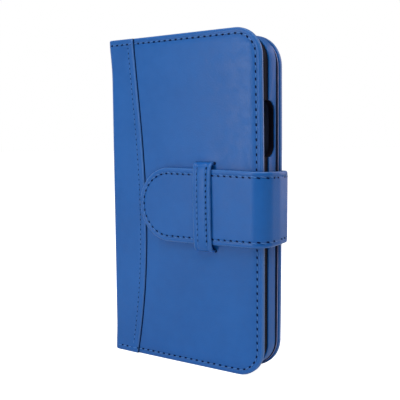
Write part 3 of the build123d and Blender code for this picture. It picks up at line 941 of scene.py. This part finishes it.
def soft_copy(node, name, finish_used, slot, body, width):
    """Copy of a CAD node with its sharp edges eased."""
    bm = bmesh.new()
    bm.from_mesh(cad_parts[node].data)
    bm.verts.layers.float.new("rim")
    bmesh.ops.remove_doubles(bm, verts=bm.verts, dist=1e-6)
    bmesh.ops.dissolve_limit(bm, angle_limit=radians(1.0), verts=bm.verts, edges=bm.edges)
    sharp = [edge for edge in bm.edges
             if len(edge.link_faces) == 2 and edge.calc_face_angle(0) > radians(40)]
    bmesh.ops.bevel(bm, geom=sharp, offset=width * MM, offset_type="OFFSET", segments=3, profile=0.5,
                    affect="EDGES", clamp_overlap=True, material=-1)
    rim = bm.verts.layers.float["rim"]
    for vert in bm.verts:
        vert[rim] = 5.0
    return finish(bm, name, [finish_used], slot, [node], body)


def build_shell():
    soft_copy("shell_leather", "shell_wrap", outer_leather(), "outer_leather", "shell", 0.3)
    soft_copy("shell_core", "shell_tray", moulded_plastic(), "moulded_plastic", "shell", 0.2)
    soft_copy("shell_lining", "shell_pad", microfibre(), "microfibre", "shell", 0.1)


def strap_route():
    """Inner face of the strap, from its root on the rear cover round the free edge to its tip."""
    side = BEND_HIGH.x - mm(sizes().strap_outer) - mm(sizes().strap_backing)
    root = ROOT_LOW.y - mm(sizes().strap_backing)
    back = BEND_HIGH.y - mm(sizes().strap_outer) - mm(sizes().strap_backing)
    start, tip, front = ROOT_HIGH.x, TONGUE_LOW.x, BACKING_HIGH.y
    corners = [(ROOT_LOW.x, root), (start, root), (start + 4.5, back), (side, back), (side + 0.7, MID_DEPTH),
               (side, front - 0.35), (16.0, front), (tip, front)]
    return Route(rounded_run(corners, [2.0, 0.2, 4.0, 12.0, 5.6, 40.0]), left=True), side


def strap_width(along, length):
    """Share of the strap's full half width at a distance along it."""
    widening = (STRAP_HALF_WIDTH - STRAP_ROOT_HALF_WIDTH) * smooth(along, 10.0, length - 10.0)
    return (STRAP_ROOT_HALF_WIDTH + widening) / STRAP_HALF_WIDTH


def strap_place(route):
    middle = (TONGUE_LOW.z + TONGUE_HIGH.z) / 2

    def place(along, across, height):
        at = route.place(along, height)
        return at.x, at.y, middle + across * strap_width(along, route.length)
    return place


def strap_piece(route, base, thickness, rings, back, inset=0.0):
    """Flat strap with a round tip, cut across wherever it bends."""
    half = STRAP_HALF_WIDTH - inset
    bm, face = pattern((inset, -half), (route.length - inset, half), (4.0, half - 0.02, half - 0.02, 4.0))
    thicken(bm, face, thickness, rings, back)
    if base:
        bmesh.ops.translate(bm, verts=bm.verts, vec=(0, 0, base))
    first = route.nearest((ROOT_HIGH.x - 2.0, ROOT_LOW.y))
    last = route.nearest((ROOT_HIGH.x - 2.0, BACKING_HIGH.y))
    cut(bm, 0, steps(first, last, 0.5))
    cut(bm, 0, steps(4.0, first - 3.0, 6.0) + steps(last + 3.0, route.length - 20.0, 4.0))
    return bm


def build_strap():
    size = sizes()
    backing, outer = mm(size.strap_backing), mm(size.strap_outer)
    route, side = strap_route()
    middle = route.nearest((side, MID_DEPTH))
    skin, turn = (backing + outer) / 2, 5.8
    before_turn, on_side = (ROOT_HIGH.x + 4.8) * MM, (side + skin) * MM
    rear_bend = (before_turn, (BEND_HIGH.y - skin) * MM, 0), (on_side, (BEND_HIGH.y - turn) * MM, 0)
    front_bend = (on_side, (BEND_LOW.y + turn) * MM, 0), (before_turn, (BEND_LOW.y + skin) * MM, 0)

    rings = TURNED + [(0.2, -0.08), (0.8, 0.0), (0.3, 0.1), (0.4, 0.03), (0.5, 0.0)]
    outside = strap_piece(route, backing, outer, rings, [(0.15, 0.1)])
    inside = strap_piece(route, 0.0, backing, [(0.1, 0.1)], THIN, 0.35)
    layers = (("leather", outside, outer_leather(), "outer_leather"),
              ("lining", inside, strap_backing(), "strap_backing"))
    for layer, bm, finish_used, slot in layers:
        for part, keep_high, nodes in (("rear", False, [f"strap_root_{layer}"]),
                                       ("front", True, [f"strap_tongue_{layer}", f"strap_bend_{layer}"])):
            half = half_of(bm, middle, keep_high)
            fold(half, strap_place(route))
            piece = finish(half, f"strap_{part}_{layer}", [finish_used], slot, nodes)
            if keep_high:
                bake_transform(piece, "strap_side", "strap_tongue", start=front_bend[0], end=front_bend[1])
            else:
                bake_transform(piece, "rear_cover", "strap_side", start=rear_bend[0], end=rear_bend[1])
        bm.free()

    inset, face = mm(size.strap_inset), backing + outer
    half = STRAP_HALF_WIDTH - inset
    lean = {"lean": radians(16)}
    near, end = middle + 1.5, route.length - inset
    front_row = rounded_run([(near, -half), (end, -half), (end, half), (near, half)], [half - 0.02] * 2)
    near = middle - 1.5
    rear_row = rounded_run([(near, half), (inset, half), (inset, -half), (near, -half)], [2.0, 2.0])
    anchor = route.nearest((ROOT_HIGH.x - inset, ROOT_LOW.y))
    anchor_row = [(anchor, -half + 3.0), (anchor, half - 3.0)]
    sewn = stitching("strap_front_sewing", [(front_row, face, lean)], strap_place(route),
                     ["strap_tongue_stitching", "strap_bend_stitching"])
    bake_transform(sewn, "strap_side", "strap_tongue", start=front_bend[0], end=front_bend[1])
    rows = [(rear_row, face, lean), (anchor_row, face, {})]
    sewn = stitching("strap_rear_sewing", rows, strap_place(route), ["strap_root_stitching"])
    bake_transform(sewn, "rear_cover", "strap_side", start=rear_bend[0], end=rear_bend[1])


def keeper_route():
    """Keeper's inner face seen from its side: out of one slit, over the strap, into the other."""
    half, rise, power = 19.0, 3.5, 6.5
    base = FRONT_LOW.y + 0.7
    middle = (KEEPER_LOW.z + KEEPER_HIGH.z) / 2
    points = []
    for index in range(161):
        turn = pi * index / 160
        across, up = cos(turn), sin(turn)
        size = (abs(across) ** power + abs(up) ** power) ** (-1 / power)
        crown = 0.35 * (1 - (across * size) ** 2)
        points.append((base - rise * up * size - crown, middle - half * across * size))
    return Route(points, left=True)


def build_keeper():
    size = sizes()
    thickness = mm(size.keeper)
    route = keeper_route()
    middle = (KEEPER_LOW.x + KEEPER_HIGH.x) / 2
    half = (KEEPER_HIGH.x - KEEPER_LOW.x) / 2

    def place(along, across, height):
        at = route.place(along, height)
        lean = (at.y - (KEEPER_LOW.z + KEEPER_HIGH.z) / 2) * -0.012
        waist = 1 + 0.03 * smooth(abs(along - route.length / 2), 14.0, route.length / 2)
        return middle + across * waist + lean, at.x, at.y

    bm, face = pattern((0.0, -half), (route.length, half))
    rings = ROLLED + [(0.3, -0.14), (0.9, 0.0), (0.3, 0.16), (0.3, 0.04)]
    thicken(bm, face, thickness, rings, THIN)
    cut(bm, 0, steps(0.4, route.length - 0.4, 0.5))
    fold(bm, place)
    finish(bm, "keeper_band", [outer_leather()], "outer_leather", ["keeper_loop"], "front_cover")

    gap = mm(size.keeper_rows) / 2
    first, last = 4.2, route.length - 4.2
    look = {"pitch": 2.5, "lean": radians(14), "hole": 0.85}
    rows = [([(first, side * gap), (last, side * gap)], thickness - 0.12, look) for side in (-1, 1)]
    stitching("keeper_sewing", rows, place, ["keeper_stitching"], "front_cover")

    # Dark strips at the keeper's two ends: painted shadow in the slits that hold them.
    bm = bmesh.new()
    bm.verts.layers.float.new("rim")
    for end in (KEEPER_LOW.z + 0.1, KEEPER_HIGH.z - 0.1):
        slit = Matrix.Translation((middle, end, 0)) @ Matrix.Diagonal((2 * half + 1.6, 1.3, 1, 1))
        made = bmesh.ops.create_grid(bm, x_segments=1, y_segments=1, size=0.5, matrix=slit)["verts"]
        bmesh.ops.bevel(bm, geom=made, offset=0.5, offset_type="OFFSET", segments=6, profile=0.5,
                        affect="VERTICES", material=-1)
    cut(bm, 0, steps(KEEPER_LOW.x - 0.4, KEEPER_HIGH.x + 0.4, 0.8))
    fold(bm, lambda x, z, height: (bow(x, z), FRONT_LOW.y - pucker(x, z) - 0.06, z))
    finish(bm, "keeper_slit_shadows", [painted_shade_finish()], "outer_leather", (), "front_cover", lean=True)


def build_cover_sewing():
    size = sizes()
    inset = mm(size.edge_inset)
    groove = 0.1
    for name, low, high, corner, base, outward, panel in (
        ("front", FRONT_LOW, FRONT_HIGH, mm(size.front_corner), FRONT_LOW.y, -1, FRONT_PANEL_FACE),
        ("rear", REAR_LOW, REAR_HIGH, mm(size.rear_corner), REAR_HIGH.y, 1, REAR_PANEL_FACE),
    ):
        body = f"{name}_cover"
        raised = abs(panel - base)

        def place(x, z, height, base=base, outward=outward):
            return bow(x, z), base + outward * height, z

        def level(x, z, raised=raised, height=high.z):
            return raised if x < seam_x(z, height) else -groove

        edge_row = (cover_row(low, high, corner, inset), level, {"lean": radians(8)})
        stitching(f"{name}_edge_sewing", [edge_row], place, [f"{name}_stitching"], body, lean=name == "front")
        panel_row = (seam_row(high.z), raised, {"pitch": 2.4, "thread": 0.8, "hole": 0.6})
        stitching(f"{name}_seam_sewing", [panel_row], place, [f"{name}_seam_stitching"], body)


def build_seam_shadow_lines():
    """Dark strip on each cover's leather, tight beside the spine panel's curved edge: a painted shadow line
    where the panel's raised edge meets the cover.
    """
    for name, base, outward, height, body in (("front", FRONT_LOW.y, -1, FRONT_HIGH.z, "front_cover"),
                                              ("rear", REAR_HIGH.y, 1, REAR_HIGH.z, "rear_cover")):
        # Flat ribbon in the dark hole finish: a painted shadow line, not a cut groove.
        bm, face = pattern((-0.5, 0.15), (0.62, height - 0.15))
        press(bm, face, [(0.08, 0.03), (0.12, 0.0)])
        cut(bm, 1, steps(3.0, height - 3.0, 3.0))

        def place(u, z, rise, base=base, outward=outward, height=height):
            x = seam_x(z, height) + u
            return bow(x, z), base + outward * (rise + 0.03), z

        fold(bm, place)
        finish(bm, f"{name}_seam_shadow_line", [painted_shade_finish()], "outer_leather", (), body, lean=name == "front")


def build_inner_parts():
    """Better finishes for the stiffeners, magnets and plate, whose shapes are kept."""
    finishes = {
        "rear_board": board_finish(), "spine_stiffener": board_finish(),
        "rear_magnets": steel_finish(), "shell_steel_plate": steel_finish(),
    }
    for name, finish_used in finishes.items():
        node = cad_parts[name]
        if not node.material_slots:
            node.data.materials.append(finish_used)
        for used in node.material_slots:
            used.material = finish_used


# ---------------------------------------------------------------- stage

def area_light(name, azimuth, elevation, distance, size, power, tint=(1, 1, 1)):
    """Soft light aimed at the wallet's middle. Azimuth runs from the front towards the free edge."""
    data = bpy.data.lights.new(name, "AREA")
    data.shape = "RECTANGLE"
    data.size, data.size_y = size
    data.energy = power
    data.color = tint
    turn, rise = radians(azimuth), radians(elevation)
    way = Vector((sin(turn) * cos(rise), -cos(turn) * cos(rise), sin(rise)))
    light = bpy.data.objects.new(name, data)
    light.location = Vector((0, 0, MIDDLE_HEIGHT * MM)) + way * distance
    light.rotation_euler = way.to_track_quat("Z", "Y").to_euler()
    bpy.context.scene.collection.objects.link(light)


def build_stage():
    bm = bmesh.new()
    bmesh.ops.create_circle(bm, cap_ends=True, segments=64, radius=4.0)
    mesh = bpy.data.meshes.new("floor")
    bm.to_mesh(mesh)
    bm.free()
    made, tree, shader = material("Studio floor")
    vector = object_vector(tree)
    paper = noise(tree, vector, 40.0, 4.0)
    base = colours().floor
    join(tree, (mix_colour(tree, paper, toned(base, 0.98), rgba(base)), shader.inputs["Base Color"]),
         (ramp_between(tree, paper, 0.3, 0.7, 0.75, 0.85), shader.inputs["Roughness"]))
    shader.inputs["Specular IOR Level"].default_value = 0.1
    seen = add_node(tree, "ShaderNodeLightPath").outputs["Is Camera Ray"]
    shader.inputs["Emission Color"].default_value = (1, 1, 1, 1)
    join(tree, (math_node(tree, "MULTIPLY", seen, 0.95), shader.inputs["Emission Strength"]))
    mesh.materials.append(made)
    floor = bpy.data.objects.new("floor", mesh)
    bpy.context.scene.collection.objects.link(floor)

    world = bpy.data.worlds.new("Studio")
    bpy.context.scene.world = world
    world.use_nodes = True
    tree = world.node_tree
    seen = add_node(tree, "ShaderNodeLightPath").outputs["Is Camera Ray"]
    background = tree.nodes["Background"]
    background.inputs["Color"].default_value = (1, 1, 1, 1)
    join(tree, (ramp_between(tree, seen, 0.0, 1.0, 0.17, 1.0), background.inputs["Strength"]))

    area_light("key", -24, 9, 0.8, (0.14, 0.4), 1.3)
    area_light("front crown", -15, 58, 1.0, (0.6, 0.6), 4.0)
    area_light("right crown", 78, 60, 1.0, (0.6, 0.6), 4.6)
    area_light("side", 162, 12, 0.9, (0.5, 0.7), 1.4, (1.0, 0.84, 0.96))
    area_light("left", -85, 20, 1.0, (0.6, 0.7), 1.5)

    lens = bpy.data.cameras.new("camera")
    lens.lens, lens.sensor_width = 61.2, 36.0
    lens.clip_start, lens.clip_end = 0.01, 20.0
    camera = bpy.data.objects.new("camera", lens)
    turn, rise, roll = radians(34.56), radians(5.58), radians(-0.41)
    back = Vector((sin(turn) * cos(rise), -cos(turn) * cos(rise), sin(rise)))
    right = (-back).cross(Vector((0, 0, 1))).normalized()
    up = right.cross(-back)
    across = right * cos(roll) + up * sin(roll)
    upward = -right * sin(roll) + up * cos(roll)
    camera.matrix_world = Matrix.Translation((0.18125, -0.25961, 0.10725)) @ Matrix(
        (across, upward, back)).transposed().to_4x4()
    bpy.context.scene.collection.objects.link(camera)
    bpy.context.scene.camera = camera
    bpy.context.scene.view_settings.view_transform = "Standard"


# ---------------------------------------------------------------- operators

class WALLET_OT_front_cover(bpy.types.Operator):
    """Make the front cover's leather, board and lining"""
    bl_idname = "wallet.front_cover"
    bl_label = "Front cover"

    def execute(self, context):
        build_front_cover()
        return {"FINISHED"}


class WALLET_OT_rear_cover(bpy.types.Operator):
    """Make the rear cover's leather and lining, with its camera window"""
    bl_idname = "wallet.rear_cover"
    bl_label = "Rear cover"

    def execute(self, context):
        build_rear_cover()
        return {"FINISHED"}


class WALLET_OT_spine(bpy.types.Operator):
    """Make the panel that wraps the spine, and the spine's lining"""
    bl_idname = "wallet.spine"
    bl_label = "Spine"

    def execute(self, context):
        build_spine_wrap()
        build_spine_lining()
        return {"FINISHED"}


class WALLET_OT_pockets(bpy.types.Operator):
    """Make the bill pocket and the card pockets"""
    bl_idname = "wallet.pockets"
    bl_label = "Pockets"

    def execute(self, context):
        build_pockets()
        return {"FINISHED"}


class WALLET_OT_shell(bpy.types.Operator):
    """Make the phone shell"""
    bl_idname = "wallet.shell"
    bl_label = "Phone shell"

    def execute(self, context):
        build_shell()
        return {"FINISHED"}


class WALLET_OT_strap(bpy.types.Operator):
    """Make the strap that wraps the free edge"""
    bl_idname = "wallet.strap"
    bl_label = "Strap"

    def execute(self, context):
        build_strap()
        return {"FINISHED"}


class WALLET_OT_keeper(bpy.types.Operator):
    """Make the keeper loop and the painted shadows in its two slits"""
    bl_idname = "wallet.keeper"
    bl_label = "Keeper"

    def execute(self, context):
        build_keeper()
        return {"FINISHED"}


class WALLET_OT_cover_sewing(bpy.types.Operator):
    """Sew both covers' edges and the spine panel's curved edges, and paint a shadow line beside the panel"""
    bl_idname = "wallet.cover_sewing"
    bl_label = "Cover sewing"

    def execute(self, context):
        build_cover_sewing()
        build_seam_shadow_lines()
        return {"FINISHED"}


class WALLET_OT_inner_parts(bpy.types.Operator):
    """Finish the boards, magnets and steel plate"""
    bl_idname = "wallet.inner_parts"
    bl_label = "Inner parts"

    def execute(self, context):
        build_inner_parts()
        return {"FINISHED"}


class WALLET_OT_stage(bpy.types.Operator):
    """Set up the floor, lights and camera"""
    bl_idname = "wallet.stage"
    bl_label = "Stage"

    def execute(self, context):
        build_stage()
        return {"FINISHED"}


STEPS = (WALLET_OT_front_cover, WALLET_OT_rear_cover, WALLET_OT_spine, WALLET_OT_pockets, WALLET_OT_shell,
         WALLET_OT_strap, WALLET_OT_keeper, WALLET_OT_cover_sewing, WALLET_OT_inner_parts, WALLET_OT_stage)


class WALLET_PT_maker(bpy.types.Panel):
    """Lists the steps that make the wallet"""
    bl_idname = "WALLET_PT_maker"
    bl_label = "Leather phone wallet"
    bl_space_type = "VIEW_3D"
    bl_region_type = "UI"
    bl_category = "Wallet"

    def draw(self, context):
        for step in STEPS:
            self.layout.operator(step.bl_idname)
        for group in (context.scene.wallet_sizes, context.scene.wallet_colours):
            for name in group.__annotations__:
                self.layout.prop(group, name)


CLASSES = (WalletSizes, WalletColours, *STEPS, WALLET_PT_maker)


def register():
    for item in CLASSES:
        bpy.utils.register_class(item)
    bpy.types.Scene.wallet_sizes = PointerProperty(type=WalletSizes)
    bpy.types.Scene.wallet_colours = PointerProperty(type=WalletColours)


def unregister():
    del bpy.types.Scene.wallet_sizes
    del bpy.types.Scene.wallet_colours
    for item in reversed(CLASSES):
        bpy.utils.unregister_class(item)


def main():
    register()
    for step in STEPS:
        group, name = step.bl_idname.split(".")
        getattr(getattr(bpy.ops, group), name)()


if __name__ == "__main__":
    main()
